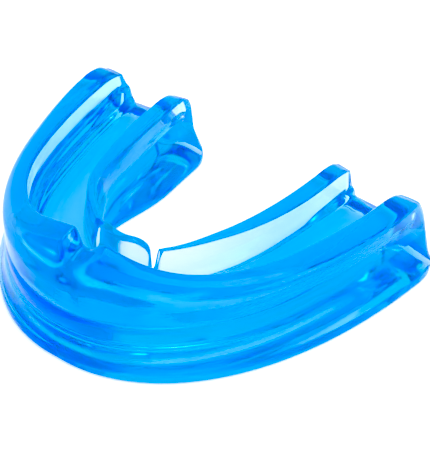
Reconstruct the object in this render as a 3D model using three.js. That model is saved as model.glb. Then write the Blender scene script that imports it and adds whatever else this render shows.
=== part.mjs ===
// A one-piece gel mouthguard: a horseshoe tray with a deep channel for the upper teeth, a very shallow
// recess for the lower teeth, a notch for the lip frenum and a tongue tag behind the front teeth.
// The moulding is one rigid body; each wall, bite plate and tag is a mesh of its own, and neighbours
// share a flat face.
// Millimetres, +Z up, lips toward -Y, arms toward +Y. Symmetric about x = 0, but for the notch, a
// slight bow in the left tongue-side wall and the wider foot under it.
import * as THREE from 'three';

// ---------------------------------------------------------------- driving dimensions
const OUTER_HALF_WIDTH = 28.3;         // midline to the outer top edge at the arm ends
const INNER_HALF_WIDTH = 12.7;         // midline to the tongue-side top edge at the arm ends
const ARCH_LENGTH = 43.9;              // outer top edge at the lips to the arm ends
const FRONT_BREADTH = 13.6;            // outer top edge to the tongue-side edge at the midline
const LEFT_BOW = 1.9;                  // how far out the middle of the left tongue-side wall bows

const FLANGE_HEIGHT_FRONT = 14.5;      // outer wall near the lips
const FLANGE_HEIGHT_BACK = 12.3;       // outer wall at the molars
const FLANGE_PEAK = 4.2;               // extra height of the two lips of the notch
const PEAK_SPREAD = 13;                // how far the extra height reaches along the arch
const NOTCH_DEPTH = 2.5;
const NOTCH_CENTRE = 1.2;              // the notch sits a little right of the midline
const NOTCH_LEFT = 1.8;                // and is steeper on its left side
const NOTCH_RIGHT = 3.9;
const FLANGE_TOP_WIDTH = 3.4;          // inner edge to outer edge of the outer wall's top
const FLANGE_FOOT_WIDTH = 4.5;         // outer wall at the channel floor
const LINGUAL_HEIGHT = 10.6;           // top of the tongue-side walls near the tag
const LINGUAL_RISE = 0.6;              // how much higher they are at the molars

const PLATE_TOP = 5.7;                 // floor of the upper channel
const PLATE_BOTTOM = 0.9;              // ceiling of the lower recess
const BASE_BAND = 1.7;                 // height of the thicker band round the bottom
const BASE_STEP = 0.4;                 // how far that band stands out
const LEFT_FLARE = 3;                  // how far the foot of the left arm stands out on the tongue side
const RIGHT_FLARE = 1.3;
const WAIST = 4.2;                     // height at which the flare of the foot begins on both sides

const FRONT_SHARE = 0.3;               // part of each half arch that belongs to the front zone
const LINGUAL_START = 0.26;            // part of each half arch without a tongue-side wall
const ROUND_SHARE = 0.04;              // part of each half arch that rounds off the arm end
const HEEL = 2.4;                      // how far an arm's end face leans back at the top of its outer wall
const HEEL_HEIGHT = 4;                 // height at which the end face is fullest
const HEEL_REACH = 0.7;                // how far it stands out there past the end of the arch

const TAG_WIDTH = 8.6;
const TAG_THICKNESS = 2.5;
const TAG_TOP = 12.4;
const TAG_CORNER = 2.4;

const BLUE_GEL = { color: 0x00a8ff, roughness: 0.12, metalness: 0, transparent: true, opacity: 0.6 };

// ---------------------------------------------------------------- the arch
// Half an arch in plan: square on at the midline, steered round to the arm end.
function halfArch(front, roundness, bend, end) {
  return new THREE.CubicBezierCurve(
    new THREE.Vector2(0, front),
    new THREE.Vector2(roundness, front),
    new THREE.Vector2(bend[0], bend[1]),
    new THREE.Vector2(end[0], end[1]),
  );
}

const outerArch = halfArch(
  0,
  0.45 * OUTER_HALF_WIDTH,
  [0.92 * OUTER_HALF_WIDTH, 0.29 * ARCH_LENGTH],
  [OUTER_HALF_WIDTH, ARCH_LENGTH],
);
const innerArch = halfArch(
  FRONT_BREADTH,
  0.33 * INNER_HALF_WIDTH,
  [0.95 * INNER_HALF_WIDTH, FRONT_BREADTH + 6.4],
  [INNER_HALF_WIDTH, ARCH_LENGTH + 0.8],
);

const mix = THREE.MathUtils.lerp;
const ease = THREE.MathUtils.smoothstep;
const bell = (distance, width) => Math.exp(-((distance / width) ** 2));

// How far an arm's end face is drawn in: it leans back above and below HEEL_HEIGHT, and at the channel.
// `share` runs from 0 at the tongue side to 1 at the cheek.
function heel(along, share, height) {
  const top = HEEL * Math.max((height - HEEL_HEIGHT) / (FLANGE_HEIGHT_BACK - HEEL_HEIGHT), 0) ** 3;
  const foot = 0.8 * Math.max((HEEL_HEIGHT - height) / HEEL_HEIGHT, 0) ** 2;
  const channel = 0.9 * bell(share - 0.48, 0.2) * ease(height, 3, 5.5);
  const tongue = 0.6 * bell(share, 0.25);
  return (top + foot + channel - tongue - HEEL_REACH) * ease(along, 0.75, 1);
}

// A station runs from -1 (left arm end) through 0 (midline) to 1 (right arm end).
// `across` is the distance from the tongue-side arch toward the lips or cheek.
function archPoint(station, across, height) {
  const along = Math.abs(station);
  const side = station < 0 ? -1 : 1;
  const inner = innerArch.getPoint(along);
  const outer = outerArch.getPoint(along);
  const share = across / inner.distanceTo(outer);
  const point = inner.clone().lerp(outer, share);
  if (side < 0) {
    point.x += LEFT_BOW * bell(along - 0.55, 0.2) * (1 - share);
  }
  return new THREE.Vector3(side * point.x, point.y - heel(along, share, height), height);
}

// ---------------------------------------------------------------- the cross-section
// Distance from the midline along the outer edge near the front, per unit of station.
const FRONT_RUN = 3 * 0.45 * OUTER_HALF_WIDTH;

// 0 along the arm, growing to 1 round a quarter circle at its very end.
function endRound(along) {
  const run = Math.max(0, (along - (1 - ROUND_SHARE)) / ROUND_SHARE);
  return 1 - Math.sqrt(1 - Math.min(run, 1) ** 2);
}

// How deep the notch cuts at a station.
function notchDepth(station) {
  const offCentre = station * FRONT_RUN - NOTCH_CENTRE;
  const reach = Math.abs(offCentre) / (offCentre > 0 ? NOTCH_RIGHT : NOTCH_LEFT);
  return NOTCH_DEPTH * (1 - ease(reach, 0, 1));
}

// A tongue-side wall starts low beside the tag; its tongue side rises before its channel side.
function lingualHeight(along, margin, start, full) {
  const height = LINGUAL_HEIGHT + LINGUAL_RISE * ease(along, 0.3, 0.6);
  return mix(PLATE_TOP + margin, height - endRound(along), ease(along, start, full));
}

// Named corners of the section, each as [across, height].
function section(station) {
  const along = Math.abs(station);
  const breadth = innerArch.getPoint(along).distanceTo(outerArch.getPoint(along));
  const lips = (inward) => breadth - inward;
  const round = endRound(along);
  const peak = bell(along * FRONT_RUN, PEAK_SPREAD);
  const back = ease(along, 0.3, 0.85);

  const crest = mix(FLANGE_HEIGHT_FRONT, FLANGE_HEIGHT_BACK, along) + FLANGE_PEAK * peak
    - notchDepth(station) - 0.9 * round;
  const shoulder = Math.min(mix(FLANGE_HEIGHT_FRONT - 1.5, FLANGE_HEIGHT_BACK - 0.8, along), crest - 0.4)
    + 0.7 * ease(along, 0.75, 1) - 0.6 * round;
  const thickening = 1.8 * peak;
  const top = FLANGE_TOP_WIDTH + thickening + 0.7 * ease(along, 0.6, 1);
  const foot = FLANGE_FOOT_WIDTH + 0.6 * thickening + 1.15 * back;
  const cheek = mix(0.6, 2.7, along) - round;
  const belly = cheek - BASE_STEP;

  const tongueSide = lingualHeight(along, 1.4, LINGUAL_START, LINGUAL_START + 0.04);
  const channelSide = lingualHeight(along, 1.2, LINGUAL_START + 0.01, LINGUAL_START + 0.07);
  const channelFace = mix(2, 3.1, ease(along, 0.3, 0.9));
  const kerb = 0.02 + 0.7 * ease(along, 0.85, 1);
  const flare = station < 0 ? LEFT_FLARE : RIGHT_FLARE;
  const undercut = mix(0.1, flare, ease(along, 0.5, 0.85)) - round;
  return {
    baseOuter: [lips(-cheek), 0],
    bandOuter: [lips(-cheek), BASE_BAND],
    bandLow: [lips(-cheek), PLATE_BOTTOM],
    aboveBand: [lips(-belly), BASE_BAND + 0.3],
    cheekLow: [lips(-0.75 * belly), BASE_BAND + 1],
    cheekWaist: [lips(-0.4 * belly), WAIST],
    cheekHigh: [lips(-0.13 * belly), PLATE_TOP],
    cheekTop: [lips(0), PLATE_TOP + 0.9],
    shoulder: [lips(0.6 * round), shoulder],
    crown: [lips(0.5 * FLANGE_TOP_WIDTH), mix(shoulder, crest, 0.8)],
    crest: [lips(top), crest - 0.1],
    ledge: [lips(top), mix(PLATE_TOP, crest, 0.4)],
    shelf: [lips(mix(top, foot, 0.8)), mix(PLATE_TOP, crest, 0.2)],
    channelOuter: [lips(foot), PLATE_TOP],
    channelInner: [channelFace + kerb, PLATE_TOP],
    tongueBevel: [channelFace, mix(PLATE_TOP, channelSide, 0.3)],
    tongueCrest: [mix(1.1, 3.1, ease(along, 0.3, 0.9)), channelSide],
    tongueTop: [0.4, tongueSide],
    tongueFace: [0.25, mix(PLATE_TOP, tongueSide, 0.8)],
    tongueHigh: [0.2, PLATE_TOP],
    tongueWaist: [0.15 - 0.05 * undercut, WAIST],
    tongueLow: [0.1 - 0.5 * undercut, BASE_BAND + 1],
    tongueBand: [-0.95 * undercut, BASE_BAND],
    tongueFoot: [-undercut, PLATE_BOTTOM],
    tongueBase: [-undercut, 0],
    recessInnerMouth: [2.2, 0],
    recessInner: [4.2, PLATE_BOTTOM],
    recessOuter: [lips(5.2), PLATE_BOTTOM],
    recessOuterMouth: [lips(3.2), 0],
  };
}

// Each wall is the loop of corners that it runs through, seen with the lips on the right.
const UPPER_OUTER = ['channelOuter', 'cheekHigh', 'cheekTop', 'shoulder', 'crown', 'crest', 'ledge', 'shelf'];
const UPPER_LINGUAL = ['tongueHigh', 'channelInner', 'tongueBevel', 'tongueCrest', 'tongueTop', 'tongueFace'];
const BITE_PLATE = [
  'tongueFoot', 'recessInner', 'recessOuter', 'bandLow', 'bandOuter', 'aboveBand', 'cheekLow', 'cheekWaist',
  'cheekHigh', 'channelOuter', 'channelInner', 'tongueHigh', 'tongueWaist', 'tongueLow', 'tongueBand',
];
const LOWER_OUTER = ['recessOuterMouth', 'baseOuter', 'bandLow', 'recessOuter'];
const LOWER_LINGUAL = ['tongueBase', 'recessInnerMouth', 'recessInner', 'tongueFoot'];

// ---------------------------------------------------------------- sweeping a wall along the arch
// Each quad's diagonal is mirrored on the left, so that the two halves are split alike.
function sweep(corners, stations) {
  const count = corners.length;
  const rings = stations.map((station) => {
    const at = section(station);
    return corners.map((name) => archPoint(station, at[name][0], at[name][1]));
  });
  const faces = [];
  for (let i = 0; i + 1 < rings.length; i += 1) {
    for (let a = 0; a < count; a += 1) {
      const b = (a + 1) % count;
      const near = i * count;
      const far = near + count;
      if (stations[i] < 0) {
        faces.push(near + a, far + a, near + b, near + b, far + a, far + b);
      } else {
        faces.push(near + a, far + b, near + b, near + a, far + a, far + b);
      }
    }
  }
  const start = section(stations[0]);
  const outline = corners.map((name) => new THREE.Vector2(start[name][0], start[name][1]));
  const last = (rings.length - 1) * count;
  for (const [a, b, c] of THREE.ShapeUtils.triangulateShape(outline, [])) {
    faces.push(a, b, c);
    faces.push(last + a, last + c, last + b);
  }
  const geometry = new THREE.BufferGeometry().setFromPoints(rings.flat());
  geometry.setIndex(faces);
  geometry.computeVertexNormals();
  return geometry;
}

// Closer steps round the notch, where the outer wall changes height quickly.
function frontStations() {
  const half = [0.016, 0.031, 0.05, 0.075, 0.105, 0.134, 0.17, 0.21, 0.25, FRONT_SHARE];
  return [...half.map((s) => -s).reverse(), 0, ...half];
}

function armStations(side, from) {
  const steps = 12;
  const arm = Array.from({ length: steps + 1 }, (_, i) => mix(from, 1 - ROUND_SHARE, i / steps));
  const end = [0.5, 0.85, 1].map((share) => 1 - ROUND_SHARE * (1 - share));
  const all = [...arm, ...end];
  return side < 0 ? all.map((s) => -s).reverse() : all;
}

// ---------------------------------------------------------------- the tongue tag
// A tab with rounded top corners that stands on the bite plate behind the front teeth and thins upward.
function tongueTag() {
  const half = TAG_WIDTH / 2;
  const height = TAG_TOP - PLATE_TOP;
  const outline = new THREE.Shape();
  outline.moveTo(-half, 0);
  outline.lineTo(half, 0);
  outline.lineTo(half, height - TAG_CORNER);
  outline.absarc(half - TAG_CORNER, height - TAG_CORNER, TAG_CORNER, 0, Math.PI / 2, false);
  outline.absarc(-half + TAG_CORNER, height - TAG_CORNER, TAG_CORNER, Math.PI / 2, Math.PI, false);
  outline.lineTo(-half, 0);
  const geometry = new THREE.ExtrudeGeometry(outline, {
    depth: TAG_THICKNESS,
    bevelEnabled: false,
    curveSegments: 5,
  });
  const places = geometry.attributes.position;
  for (let i = 0; i < places.count; i += 1) {
    places.setZ(i, places.getZ(i) * (1 - 0.5 * (places.getY(i) / height)));
  }
  geometry.rotateX(Math.PI / 2);
  geometry.translate(0, FRONT_BREADTH - 0.2, PLATE_TOP);
  return geometry;
}

// ---------------------------------------------------------------- assembly
const guard = new THREE.Group();

function add(name, geometry) {
  const mesh = new THREE.Mesh(geometry, new THREE.MeshStandardMaterial(BLUE_GEL));
  mesh.name = name;
  guard.add(mesh);
}

add('upper_labial_flange', sweep(UPPER_OUTER, frontStations()));
add('front_bite_plate', sweep(BITE_PLATE, frontStations()));
add('lower_labial_rim', sweep(LOWER_OUTER, frontStations()));
add('lower_front_lingual_rim', sweep(LOWER_LINGUAL, frontStations()));
add('tongue_tag', tongueTag());

for (const [name, side] of [['left', -1], ['right', 1]]) {
  add(`${name}_upper_buccal_flange`, sweep(UPPER_OUTER, armStations(side, FRONT_SHARE)));
  add(`${name}_upper_lingual_wall`, sweep(UPPER_LINGUAL, armStations(side, LINGUAL_START)));
  add(`${name}_bite_plate`, sweep(BITE_PLATE, armStations(side, FRONT_SHARE)));
  add(`${name}_lower_buccal_rim`, sweep(LOWER_OUTER, armStations(side, FRONT_SHARE)));
  add(`${name}_lower_lingual_rim`, sweep(LOWER_LINGUAL, armStations(side, FRONT_SHARE)));
}

// The origin is the centre of the footprint, on the surface that the guard rests on.
const box = new THREE.Box3().setFromObject(guard);
guard.position.y = -(box.min.y + box.max.y) / 2;

export default guard;
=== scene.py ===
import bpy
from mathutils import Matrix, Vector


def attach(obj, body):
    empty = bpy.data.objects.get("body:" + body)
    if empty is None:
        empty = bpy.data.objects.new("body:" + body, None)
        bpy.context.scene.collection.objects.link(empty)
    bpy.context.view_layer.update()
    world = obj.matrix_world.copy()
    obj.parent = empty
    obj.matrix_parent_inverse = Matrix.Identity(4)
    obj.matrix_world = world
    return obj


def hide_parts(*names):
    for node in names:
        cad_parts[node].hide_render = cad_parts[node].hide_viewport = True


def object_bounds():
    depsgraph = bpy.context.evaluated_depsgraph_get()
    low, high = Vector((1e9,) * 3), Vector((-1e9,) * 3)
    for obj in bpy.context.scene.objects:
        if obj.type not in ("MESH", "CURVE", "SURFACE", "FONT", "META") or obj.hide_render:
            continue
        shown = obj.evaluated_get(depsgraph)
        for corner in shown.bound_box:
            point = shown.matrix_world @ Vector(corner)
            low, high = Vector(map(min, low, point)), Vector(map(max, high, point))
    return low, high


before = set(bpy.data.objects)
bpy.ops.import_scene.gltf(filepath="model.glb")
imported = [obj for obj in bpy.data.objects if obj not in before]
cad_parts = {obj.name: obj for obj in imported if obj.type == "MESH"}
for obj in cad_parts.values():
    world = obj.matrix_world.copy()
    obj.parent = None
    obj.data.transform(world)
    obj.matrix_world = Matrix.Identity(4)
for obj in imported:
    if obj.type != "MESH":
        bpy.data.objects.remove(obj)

# A one-piece gel mouthguard seen in Blender: one closed, filleted skin swept along the dental arch,
# in a tinted clear gel, on a plain white studio floor.
# Shape values are millimetres in the guard's own guide: lips toward -Y, tongue toward +Y, +Z up.
import math

import bmesh
import bpy
from mathutils import Matrix, Vector
from mathutils.geometry import tessellate_polygon

cad_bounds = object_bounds()

MM = 0.001

# ---------------------------------------------------------------- driving dimensions
OUTER_HALF_WIDTH = 28.3        # midline to the outer top edge at the arm ends
INNER_HALF_WIDTH = 12.7        # midline to the tongue-side top edge at the arm ends
ARCH_LENGTH = 43.9             # outer top edge at the lips to the arm ends
FRONT_BREADTH = 13.6           # outer top edge to the tongue-side edge at the midline
LEFT_BOW = 1.9                 # how far out the middle of the left tongue-side wall bows

FLANGE_HEIGHT_FRONT = 14.5     # outer wall near the lips
FLANGE_HEIGHT_BACK = 12.3      # outer wall at the molars
FLANGE_PEAK = 4.2              # extra height of the two lips of the notch
PEAK_SPREAD = 13.0             # how far the extra height reaches along the arch
NOTCH_DEPTH = 2.5
NOTCH_CENTRE = 1.2             # the notch sits a little right of the midline
NOTCH_LEFT = 1.8               # and is steeper on its left side
NOTCH_RIGHT = 3.9
FLANGE_TOP_WIDTH = 3.4         # inner edge to outer edge of the outer wall's top
FLANGE_FOOT_WIDTH = 4.5        # outer wall at the channel floor
LINGUAL_HEIGHT = 10.6          # top of the tongue-side walls near the tag
LINGUAL_RISE = 0.6             # how much higher they are at the molars
LINGUAL_START = 0.26           # part of each half arch without a tongue-side wall

PLATE_TOP = 5.7                # floor of the upper channel
RECESS_DEPTH = 0.5             # the shallow lower recess, which runs out before the arm ends
LEFT_FLARE = 3.0               # how far the foot of the left arm stands out on the tongue side
RIGHT_FLARE = 1.3              # and the foot of the right arm
BASE_BAND = 1.7                # height of the thicker band round the bottom
BASE_STEP = 0.4                # how far that band stands out
ROUND_SHARE = 0.04             # part of each half arch that rounds off the arm end
END_RADIUS = 0.55              # rounding between an arm's end face and its sides
HEEL = 2.4                     # how far an arm's end face leans back at the top of its outer wall
HEEL_HEIGHT = 4.0              # height at which the end face is fullest
HEEL_REACH = 0.7               # how far it stands out there past the end of the arch

TAG_HALF_WIDTH = 4.3
TAG_TOP = 12.4                 # height of the tag's upper edge above the table
TAG_CORNER = 2.4               # rounding of its upper corners
TAG_BACK = 0.2                 # tongue-side face of the tag, from the tongue-side arch
TAG_FRONT = 2.7                # lip-side face of the tag
TAG_DISH = 0.2                 # how far the lip-side face of the tag is hollowed

GROOVE_HEIGHT = 8.5            # groove round the outer face at the lips
LINE_HEIGHTS = (5.0, 5.75)     # two fine mould lines under the groove


# ---------------------------------------------------------------- small formulas
def mix(a, b, share):
    return a + (b - a) * share


def ease(value, start, end):
    """0 before start, 1 after end, smooth in between."""
    t = min(max((value - start) / (end - start), 0.0), 1.0)
    return t * t * (3 - 2 * t)


def bell(distance, width):
    return math.exp(-((distance / width) ** 2))


def quarter(run):
    """0 at run 0, growing to 1 at run 1 round a quarter circle."""
    return 1 - math.sqrt(1 - min(max(run, 0.0), 1.0) ** 2)


# ---------------------------------------------------------------- the arch in plan
def half_arch(front, roundness, bend, end):
    """Half an arch: square on at the midline, steered round to the arm end."""
    knots = [Vector((0, front)), Vector((roundness, front)), Vector(bend), Vector(end)]

    def at(t):
        s = 1 - t
        weights = (s * s * s, 3 * s * s * t, 3 * s * t * t, t * t * t)
        return sum((w * k for w, k in zip(weights, knots)), Vector((0, 0)))

    return at


outer_arch = half_arch(
    0,
    0.45 * OUTER_HALF_WIDTH,
    (0.92 * OUTER_HALF_WIDTH, 0.29 * ARCH_LENGTH),
    (OUTER_HALF_WIDTH, ARCH_LENGTH),
)
inner_arch = half_arch(
    FRONT_BREADTH,
    0.33 * INNER_HALF_WIDTH,
    (0.95 * INNER_HALF_WIDTH, FRONT_BREADTH + 6.4),
    (INNER_HALF_WIDTH, ARCH_LENGTH + 0.8),
)
FRONT_RUN = 3 * 0.45 * OUTER_HALF_WIDTH    # millimetres along the outer edge per unit of station

CHEEK_AT_LIPS = 0.6            # how far the base stands out past the outer top edge at the lips
CHEEK_AT_ENDS = 2.7            # and at the arm ends

# The guide's y = 0 is the outer top edge at the lips.
GUIDE_TO_PART_Y = cad_bounds[0].y / MM + CHEEK_AT_LIPS


def arch_point(station, across, height):
    """station runs from -1 (left arm end) to 1; across is measured from the tongue side."""
    along = abs(station)
    side = -1 if station < 0 else 1
    inner, outer = inner_arch(along), outer_arch(along)
    share = across / (outer - inner).length
    point = inner.lerp(outer, share)
    if side < 0:
        point.x += LEFT_BOW * bell(along - 0.55, 0.2) * (1 - share)
    return Vector((side * point.x, point.y + GUIDE_TO_PART_Y, height)) * MM


def heel(along, share, height):
    """How far an arm's end is drawn in: its end face is fullest a little above the foot.

    share runs from 0 at the tongue side to 1 at the cheek.
    """
    top = HEEL * max((height - HEEL_HEIGHT) / (FLANGE_HEIGHT_BACK - HEEL_HEIGHT), 0) ** 3
    foot = 0.8 * max((HEEL_HEIGHT - height) / HEEL_HEIGHT, 0) ** 2
    channel = 0.9 * bell(share - 0.48, 0.2) * ease(height, 3.0, 5.5)
    tongue = 0.6 * bell(share, 0.25)
    return (top + foot + channel - tongue - HEEL_REACH) * ease(along, 0.75, 1.0)


def half_width_at(along, across):
    inner, outer = inner_arch(along), outer_arch(along)
    return inner.lerp(outer, across / (outer - inner).length).x


# ---------------------------------------------------------------- the cross-section
# A corner is (across, height, fillet radius, points round the fillet).
def outer_face(along, lips, cheek, shoulder, top_round):
    """From the floor up the lip and cheek side: base band, two mould lines, groove, shoulder.

    The lines and the groove fade out from the lips toward the arms.
    """
    belly = cheek - BASE_STEP
    bends = [
        (BASE_BAND, belly),
        (2.6, 0.75 * belly),
        (4.2, 0.4 * belly),
        (6.4, 0),
        (shoulder, -0.6 * top_round),
    ]

    def bulge(height):
        for (low, a), (high, b) in zip(bends, bends[1:]):
            if height <= high:
                return mix(a, b, max(height - low, 0) / (high - low))
        return bends[-1][1]

    front = 1 - ease(along, 0.35, 0.75)
    corners = [
        (lips(-cheek), 0, 0.5, 5),
        (lips(-cheek), BASE_BAND, 0.35, 5),
        (lips(-belly - 0.03), BASE_BAND + 0.35, 0.25, 4),
        (lips(-bulge(2.6)), 2.6, 0.6, 3),
        (lips(-bulge(4.2)), 4.2, 0.8, 3),
    ]
    for height in LINE_HEIGHTS:
        depth = 0.16 * front
        for offset, cut in ((-0.17, 0), (0, depth), (0.17, 0)):
            corners.append((lips(cut - bulge(height + offset)), height + offset, 0.09, 2))
    depth = 0.4 * front
    for offset, cut in ((-0.75, 0), (0, depth), (0.55, 0)):
        z = GROOVE_HEIGHT + offset
        corners.append((lips(cut - bulge(z)), z, 0.4, 4))
    z = mix(PLATE_TOP, shoulder, 0.72)
    corners.append((lips(-bulge(z)), z, 1.2, 4))
    corners.append((lips(-bulge(shoulder)), shoulder, 0.75, 7))
    return corners


def flange_inside(along, lips, crest, thickening):
    """Over the outer wall's top and down to the channel floor, with soft ledges toward the arm ends."""
    back = ease(along, 0.3, 0.85)
    top = FLANGE_TOP_WIDTH + thickening + 0.7 * ease(along, 0.6, 1.0)
    foot = FLANGE_FOOT_WIDTH + 0.6 * thickening
    wall = crest - PLATE_TOP
    upper = mix(0.6, 0.4, ease(along, 0.85, 1.0))
    return [
        (lips(top), crest - 0.1, 0.6, 6),
        (lips(top), crest - upper * wall, 0.3, 4),
        (lips(mix(top, foot, 0.3) + 0.6 * back), crest - (upper + 0.1) * wall, 0.3, 4),
        (lips(mix(top, foot, 0.6) + 0.65 * back), crest - 0.8 * wall, 0.3, 4),
        (lips(mix(top, foot, 0.8) + 1.1 * back), crest - 0.88 * wall, 0.3, 4),
        (lips(foot + 1.15 * back), PLATE_TOP, 0.4, 5),
    ]


def channel_floor(along, from_across, to_across):
    """Low ridges along the floor of the upper channel."""
    corners = []
    rise = 0.08 * ease(along, 0.12, 0.35)
    for share in (0.2, 0.5, 0.8):
        middle = mix(from_across, to_across, share)
        width = 0.09 * (from_across - to_across)
        for offset, height in ((width, 0), (0, rise), (-width, 0)):
            corners.append((middle + offset, PLATE_TOP + height, 0.25, 3))
    return corners


def lingual_top(along, end_round):
    """The tongue-side wall from the channel over to the tongue side; in front, the tag takes its place."""
    x = half_width_at(along, 0.5 * (TAG_BACK + TAG_FRONT))
    if x <= TAG_HALF_WIDTH:
        top = TAG_TOP - TAG_CORNER * quarter((x - TAG_HALF_WIDTH + TAG_CORNER) / TAG_CORNER)
        thin = 0.6 * quarter((x - TAG_HALF_WIDTH + 0.6) / 0.6)
        dish = TAG_DISH * (1 - ease(x, 1.6, 3.6))
        front, rear = TAG_FRONT - thin, TAG_BACK + thin
        return [
            (front + 0.15, PLATE_TOP, 0.4, 4),
            (front, mix(PLATE_TOP, top, 0.3), 0.3, 3),
            (mix(front, rear, 0.25) - dish, mix(PLATE_TOP, top, 0.65), 0.9, 4),
            (mix(front, rear, 0.5), top - 0.15, 0.4, 6),
            (rear, top, 0.6, 6),
            (rear, mix(PLATE_TOP, top, 0.4), 0.5, 3),
        ]
    full = LINGUAL_HEIGHT + LINGUAL_RISE * ease(along, 0.3, 0.6) - end_round
    tongue_side = mix(PLATE_TOP + 1.4, full, ease(along, LINGUAL_START, 0.3))
    channel_side = mix(PLATE_TOP + 1.2, full, ease(along, LINGUAL_START + 0.01, 0.33))
    broad = ease(along, 0.3, 0.9)
    ledge = 0.7 * ease(along, 0.85, 1.0)
    channel_face = mix(2.0, 3.1, broad)
    return [
        (channel_face + 0.02 + ledge, PLATE_TOP, 0.3, 4),
        (channel_face + 0.01 + ledge, mix(PLATE_TOP, channel_side, 0.2), 0.4, 3),
        (channel_face, mix(PLATE_TOP, channel_side, 0.3), 0.4, 4),
        (mix(1.1, 3.1, broad), channel_side, 0.35, 6),
        (0.4, tongue_side, 0.5, 6),
        (0.25, mix(PLATE_TOP, tongue_side, 0.8), 0.7, 3),
    ]


def tongue_face(undercut):
    """Down the tongue side to the floor, with a narrow band along the bottom."""
    return [
        (0.2, PLATE_TOP, 0.6, 3),
        (0.15 - 0.05 * undercut, 4.2, 0.8, 3),
        (0.1 - 0.5 * undercut, 2.7, 0.4, 4),
        (-0.95 * undercut, 1.5, 0.3, 4),
        (-undercut - 0.05, 0.8, 0.25, 3),
        (-undercut, 0, 0.4, 5),
    ]


def section(station):
    along = abs(station)
    breadth = (outer_arch(along) - inner_arch(along)).length
    end_round = quarter((along - 1 + ROUND_SHARE) / ROUND_SHARE)

    def lips(inward):
        return breadth - inward

    peak = bell(along * FRONT_RUN, PEAK_SPREAD)
    off_centre = station * FRONT_RUN - NOTCH_CENTRE
    off_centre /= NOTCH_RIGHT if off_centre > 0 else NOTCH_LEFT
    notch = NOTCH_DEPTH * (1 - ease(math.sqrt(off_centre ** 2 + 0.03) - 0.17, 0, 1.05) ** 0.8)
    crest = mix(FLANGE_HEIGHT_FRONT, FLANGE_HEIGHT_BACK, along) + FLANGE_PEAK * peak - notch
    crest -= 0.9 * end_round
    shoulder = min(mix(FLANGE_HEIGHT_FRONT - 1.5, FLANGE_HEIGHT_BACK - 0.8, along), crest - 0.4)
    shoulder += 0.7 * ease(along, 0.75, 1.0) - 0.6 * end_round
    thickening = 1.8 * peak
    cheek = mix(CHEEK_AT_LIPS, CHEEK_AT_ENDS, along) - end_round
    flare = LEFT_FLARE if station < 0 else RIGHT_FLARE
    undercut = mix(0.1, flare, ease(along, 0.5, 0.85)) - end_round
    recess = RECESS_DEPTH * (1 - ease(along, 0.78, 0.95))

    inside = flange_inside(along, lips, crest, thickening)
    tongue = lingual_top(along, end_round)
    return [
        *outer_face(along, lips, cheek, shoulder, end_round),
        (lips(0.5 * FLANGE_TOP_WIDTH), mix(shoulder, crest, 0.8), 1.2, 5),
        *inside,
        *channel_floor(along, inside[-1][0], tongue[0][0]),
        *tongue,
        *tongue_face(undercut),
        (2.2, 0, 0.6, 4),
        (4.6, recess, 1.5, 5),
        (lips(5.6), recess, 1.5, 5),
        (lips(3.2), 0, 0.6, 4),
    ]


def filleted(corners):
    """The closed outline with each corner replaced by a curve; always the same number of points."""
    outline = []
    for i, (across, height, radius, points) in enumerate(corners):
        corner = Vector((across, height))
        before = Vector(corners[i - 1][:2])
        after = Vector(corners[(i + 1) % len(corners)][:2])
        start = corner + (before - corner).normalized() * min(radius, 0.48 * (before - corner).length)
        end = corner + (after - corner).normalized() * min(radius, 0.48 * (after - corner).length)
        for k in range(points):
            t = k / (points - 1)
            outline.append((1 - t) ** 2 * start + 2 * t * (1 - t) * corner + t * t * end)
    return outline


def inset(outline, distance):
    """The outline moved inward everywhere by a distance."""
    moved = []
    for i, point in enumerate(outline):
        run = outline[(i + 1) % len(outline)] - outline[i - 1]
        moved.append(point + Vector((-run.y, run.x)).normalized() * distance)
    return moved


# ---------------------------------------------------------------- the body mesh
def stations():
    """Even steps along the arch, closer at the notch, the tag's sides, the wall starts and the ends."""
    tag_edge = 0.2
    while half_width_at(tag_edge, 0.5 * (TAG_BACK + TAG_FRONT)) < TAG_HALF_WIDTH:
        tag_edge += 0.0001
    tag_round = 0.13 * TAG_CORNER / TAG_HALF_WIDTH    # stations taken up by the tag's rounded corner
    half = [i / 110 for i in range(1, 106)]
    half += [0.0025 * i for i in range(1, 40) if i % 4]
    half += [tag_edge - tag_round * (1 - math.sin(0.1 * math.pi / 2 * i)) for i in range(1, 10)]
    half += [tag_edge - 0.0002, tag_edge + 0.0006, tag_edge + 0.003]
    half += [LINGUAL_START + 0.003 * i for i in range(1, 26)]
    half += [1 - ROUND_SHARE * (1 - math.sin(math.pi / 2 * i / 8)) for i in range(0, 9)]
    half = sorted(set(round(s, 5) for s in half))
    spaced = [half[0]]
    for s in half[1:]:
        if s - spaced[-1] > 0.0007:
            spaced.append(s)
    return [-s for s in reversed(spaced)] + [0.0] + spaced


def body_rings():
    """Every ring of the body: the arch, and at each arm end a few inset rings round its edge."""
    rings = [(s, filleted(section(s)), 0.0) for s in stations()]
    for side in (-1, 1):
        outline = filleted(section(side))
        for i in range(1, 7):
            angle = math.pi / 2 * i / 6
            ring = (side, inset(outline, END_RADIUS * (1 - math.cos(angle))), END_RADIUS * math.sin(angle))
            if side < 0:
                rings.insert(0, ring)
            else:
                rings.append(ring)
    return rings


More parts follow.
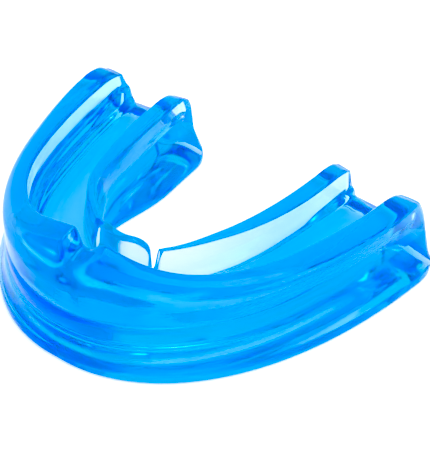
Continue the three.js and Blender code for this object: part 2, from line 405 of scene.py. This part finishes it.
def build_body():
    mesh = bpy.data.meshes.new("gel_body")
    bm = bmesh.new()
    sweep_uv = bm.loops.layers.uv.new("sweep")
    rings = []
    outlines = []
    travelled = [0.0]
    for station, outline, beyond in body_rings():
        outlines.append(outline)
        ring = []
        breadth = max(point.x for point in outline)
        for point in outline:
            place = arch_point(station, point.x, point.y)
            drawn_in = heel(abs(station), point.x / breadth, point.y)
            place.y += (beyond - 0.5 * END_RADIUS - drawn_in) * MM
            ring.append(bm.verts.new(place))
        if rings:
            travelled.append(travelled[-1] + (ring[0].co - rings[-1][0].co).length)
        rings.append(ring)
    count = len(rings[0])
    girth = [0.0]
    middle = rings[len(rings) // 2]
    for a in range(count):
        girth.append(girth[-1] + (middle[(a + 1) % count].co - middle[a].co).length)
    for i in range(len(rings) - 1):
        for a in range(count):
            b = (a + 1) % count
            face = bm.faces.new((rings[i][a], rings[i + 1][a], rings[i + 1][b], rings[i][b]))
            corners = ((i, a), (i + 1, a), (i + 1, a + 1), (i, a + 1))
            for loop, (row, column) in zip(face.loops, corners):
                loop[sweep_uv].uv = (travelled[row] / MM, girth[column] / MM)
            face.smooth = True
    for ring, outline, turn in ((rings[0], outlines[0], 1), (rings[-1], outlines[-1], -1)):
        for triangle in tessellate_polygon([[Vector((p.x, p.y, 0)) for p in outline]]):
            corners = [Vector(outline[i]) for i in triangle]
            leftward = (corners[1] - corners[0]).cross(corners[2] - corners[0])
            order = triangle if leftward * turn > 0 else reversed(triangle)
            bm.faces.new([ring[i] for i in order]).smooth = True
    bm.to_mesh(mesh)
    bm.free()
    body = bpy.data.objects.new("gel_body", mesh)
    bpy.context.scene.collection.objects.link(body)
    return body


# ---------------------------------------------------------------- materials
def new_material(name):
    material = bpy.data.materials.new(name)
    material.use_nodes = True
    tree = material.node_tree
    tree.nodes.clear()
    output = tree.nodes.new("ShaderNodeOutputMaterial")
    shader = tree.nodes.new("ShaderNodeBsdfPrincipled")
    tree.links.new(shader.outputs["BSDF"], output.inputs["Surface"])
    return material, tree, shader, output


def noise(tree, vector, scale, detail, roughness=0.5):
    node = tree.nodes.new("ShaderNodeTexNoise")
    node.inputs["Scale"].default_value = scale
    node.inputs["Detail"].default_value = detail
    node.inputs["Roughness"].default_value = roughness
    tree.links.new(vector, node.inputs["Vector"])
    return node.outputs["Fac"]


def blue_gel():
    """Clear gel dyed through: the deeper the light runs in it, the bluer it comes out."""
    material, tree, shader, output = new_material("blue_gel")
    shader.inputs["Base Color"].default_value = (0.92, 0.88, 1, 1)
    shader.inputs["Transmission Weight"].default_value = 0.97
    shader.inputs["IOR"].default_value = 1.41

    place = tree.nodes.new("ShaderNodeTexCoord").outputs["Object"]
    sweep = tree.nodes.new("ShaderNodeUVMap")
    sweep.uv_map = "sweep"
    drawn = tree.nodes.new("ShaderNodeMapping")
    drawn.inputs["Scale"].default_value = (0.08, 2.2, 1)
    tree.links.new(sweep.outputs["UV"], drawn.inputs["Vector"])

    clouds = noise(tree, place, 300, 3)
    roughness = tree.nodes.new("ShaderNodeMapRange")
    roughness.inputs["From Min"].default_value = 0.35
    roughness.inputs["From Max"].default_value = 0.7
    roughness.inputs["To Min"].default_value = 0.02
    roughness.inputs["To Max"].default_value = 0.12
    tree.links.new(clouds, roughness.inputs["Value"])
    tree.links.new(roughness.outputs["Result"], shader.inputs["Roughness"])

    waves = noise(tree, place, 160, 2)
    flow = noise(tree, drawn.outputs["Vector"], 1, 3)
    grain = noise(tree, place, 2500, 2)
    first = tree.nodes.new("ShaderNodeBump")
    first.inputs["Strength"].default_value = 0.08
    first.inputs["Distance"].default_value = 0.0004
    tree.links.new(waves, first.inputs["Height"])
    second = tree.nodes.new("ShaderNodeBump")
    second.inputs["Strength"].default_value = 0.12
    second.inputs["Distance"].default_value = 0.00006
    tree.links.new(flow, second.inputs["Height"])
    tree.links.new(first.outputs["Normal"], second.inputs["Normal"])
    third = tree.nodes.new("ShaderNodeBump")
    third.inputs["Strength"].default_value = 0.05
    third.inputs["Distance"].default_value = 0.00002
    tree.links.new(grain, third.inputs["Height"])
    tree.links.new(second.outputs["Normal"], third.inputs["Normal"])
    tree.links.new(third.outputs["Normal"], shader.inputs["Normal"])

    dye = tree.nodes.new("ShaderNodeVolumeAbsorption")
    dye.inputs["Color"].default_value = (0.0, 0.7, 0.984, 1)
    dye.inputs["Density"].default_value = 160
    tree.links.new(dye.outputs["Volume"], output.inputs["Volume"])
    return material


def white_floor():
    """A pale table that glows a little, so that it stays pale under the guard."""
    material, _, shader, _ = new_material("white_floor")
    shader.inputs["Base Color"].default_value = (0.85, 0.85, 0.85, 1)
    shader.inputs["Roughness"].default_value = 0.9
    shader.inputs["Specular IOR Level"].default_value = 0
    shader.inputs["Emission Color"].default_value = (1, 1, 1, 1)
    shader.inputs["Emission Strength"].default_value = 0.3
    return material


def lamp_white(strength):
    material = bpy.data.materials.new("lamp_white")
    material.use_nodes = True
    tree = material.node_tree
    tree.nodes.clear()
    output = tree.nodes.new("ShaderNodeOutputMaterial")
    glow = tree.nodes.new("ShaderNodeEmission")
    glow.inputs["Strength"].default_value = strength
    tree.links.new(glow.outputs["Emission"], output.inputs["Surface"])
    return material


# ---------------------------------------------------------------- the guard
body = build_body()
body.data.materials.append(blue_gel())
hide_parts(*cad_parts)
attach(body, "root")


# ---------------------------------------------------------------- studio
def add_panel(name, width, depth, material):
    mesh = bpy.data.meshes.new(name)
    corners = [(-1, -1), (1, -1), (1, 1), (-1, 1)]
    mesh.from_pydata([(0.5 * width * x, 0.5 * depth * y, 0) for x, y in corners], [], [(0, 1, 2, 3)])
    panel = bpy.data.objects.new(name, mesh)
    panel.data.materials.append(material)
    bpy.context.scene.collection.objects.link(panel)
    return panel


def add_softbox(name, place, width, depth, strength):
    """A glowing panel that faces the guard. The camera sees it only in the gel."""
    panel = add_panel(name, width, depth, lamp_white(strength))
    panel.location = place
    panel.rotation_euler = Vector(place).to_track_quat("Z", "Y").to_euler()
    panel.visible_camera = False
    return panel


floor = add_panel("floor", 4, 4, white_floor())
floor.location = (0, 0, cad_bounds[0].z - 0.00002)

world = bpy.data.worlds.new("studio")
world.use_nodes = True
world.node_tree.nodes["Background"].inputs["Color"].default_value = (1, 1, 1, 1)
world.node_tree.nodes["Background"].inputs["Strength"].default_value = 1.0
bpy.context.scene.world = world

add_softbox("top_softbox", (0.02, 0.10, 0.6), 0.5, 0.4, 4)
add_softbox("side_softbox", (0.55, 0.1, 0.25), 0.25, 0.4, 4)

# ---------------------------------------------------------------- camera
AZIMUTH, ELEVATION, ROLL = 37.87, 39.4, -0.62
DISTANCE = 0.1944
LENS = 112.6
AIM = Vector((0, 0.00105, 0.00756))    # a point inside the arch near the tongue tag
TURN_RIGHT = math.atan(5.94 / 194.4)   # the picture is centred a little right of and below that point
TURN_DOWN = math.atan(1.07 / 194.4)

azimuth, elevation = math.radians(AZIMUTH), math.radians(ELEVATION)
back = Vector((
    math.sin(azimuth) * math.cos(elevation),
    -math.cos(azimuth) * math.cos(elevation),
    math.sin(elevation),
))
right = Vector((math.cos(azimuth), math.sin(azimuth), 0))
facing = Matrix((right, back.cross(right), back)).transposed().to_4x4()
facing = facing @ Matrix.Rotation(math.radians(ROLL), 4, "Z")
facing = facing @ Matrix.Rotation(-TURN_RIGHT, 4, "Y") @ Matrix.Rotation(-TURN_DOWN, 4, "X")
camera = bpy.data.objects.new("camera", bpy.data.cameras.new("camera"))
bpy.context.scene.collection.objects.link(camera)
camera.matrix_world = Matrix.Translation(AIM + back * DISTANCE) @ facing
camera.data.lens = LENS
camera.data.sensor_fit = "AUTO"
camera.data.clip_start = 0.01
camera.data.clip_end = 10
bpy.context.scene.camera = camera

view = bpy.context.scene.view_settings
view.view_transform = "Standard"
view.look = "None"
view.use_curve_mapping = True
view.curve_mapping.black_level = (0.2, 0, 0)
view.curve_mapping.update()
bpy.context.scene.cycles.max_bounces = 24
bpy.context.scene.cycles.transmission_bounces = 24
bpy.context.scene.cycles.glossy_bounces = 24
bpy.context.scene.cycles.use_denoising = True
